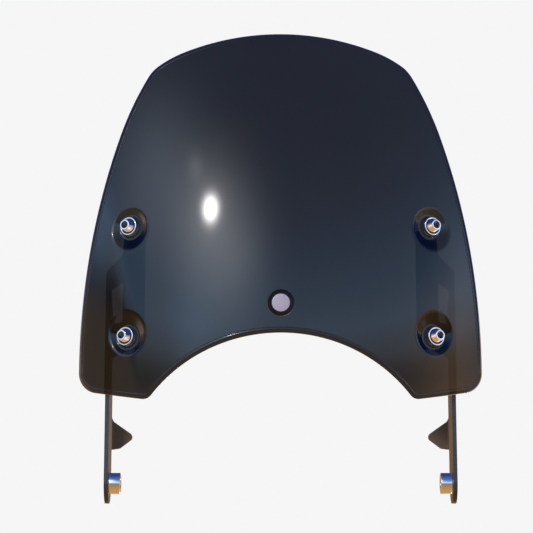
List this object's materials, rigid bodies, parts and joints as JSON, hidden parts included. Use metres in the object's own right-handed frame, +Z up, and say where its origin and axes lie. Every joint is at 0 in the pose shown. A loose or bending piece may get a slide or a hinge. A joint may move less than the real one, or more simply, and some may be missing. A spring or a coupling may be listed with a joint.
{
  "type": "motorcycle windshield screen",
  "caption": "Smoked, doubly curved flyscreen with a headlamp arch, on two folded plate brackets with pivot bushes, stop tabs and dished, rubber-mounted cap screws.",
  "frame": {"origin": "middle of the brackets' pivot axis, halfway between the two bushes", "axes": "+X to the right seen from the front, -Y forward, +Z up"},
  "size_m": [0.386, 0.1236, 0.4537],
  "materials": {
    "smoked_acrylic": "gloss, dark blue-grey smoked tint",
    "black_powder_coat": "satin black powder coat on 4 mm steel plate",
    "chrome": "polished chrome",
    "zinc_steel": "zinc plated",
    "black_rubber": "matt",
    "badge_black": "gloss",
    "badge_silver": "turned satin"
  },
  "bodies": {
    "fork_bushes": {"bush_left": "chrome", "bush_right": "chrome"},
    "windshield": {"screen": "smoked_acrylic", "badge_bezel": "badge_black", "badge_disc": "badge_silver", "bracket_left": "black_powder_coat", "bracket_right": "black_powder_coat", "grommet_upper_left": "black_rubber", "grommet_upper_right": "black_rubber", "grommet_lower_left": "black_rubber", "grommet_lower_right": "black_rubber", "spacer_sleeve_upper_left": "zinc_steel", "spacer_sleeve_upper_right": "zinc_steel", "spacer_sleeve_lower_left": "zinc_steel", "spacer_sleeve_lower_right": "zinc_steel", "cup_washer_upper_left": "chrome", "cup_washer_upper_right": "chrome", "cup_washer_lower_left": "chrome", "cup_washer_lower_right": "chrome", "cap_screw_upper_left": "chrome", "cap_screw_upper_right": "chrome", "cap_screw_lower_left": "chrome", "cap_screw_lower_right": "chrome", "back_washer_upper_left": "zinc_steel", "back_washer_upper_right": "zinc_steel", "back_washer_lower_left": "zinc_steel", "back_washer_lower_right": "zinc_steel", "lock_nut_upper_left": "zinc_steel", "lock_nut_upper_right": "zinc_steel", "lock_nut_lower_left": "zinc_steel", "lock_nut_lower_right": "zinc_steel"}
  },
  "joints": [
    {"name": "rake_tilt", "type": "hinge", "parent": "fork_bushes", "child": "windshield", "pos_m": [0, 0, 0], "axis": [1, 0, 0], "range_deg": [0, 15]}
  ]
}
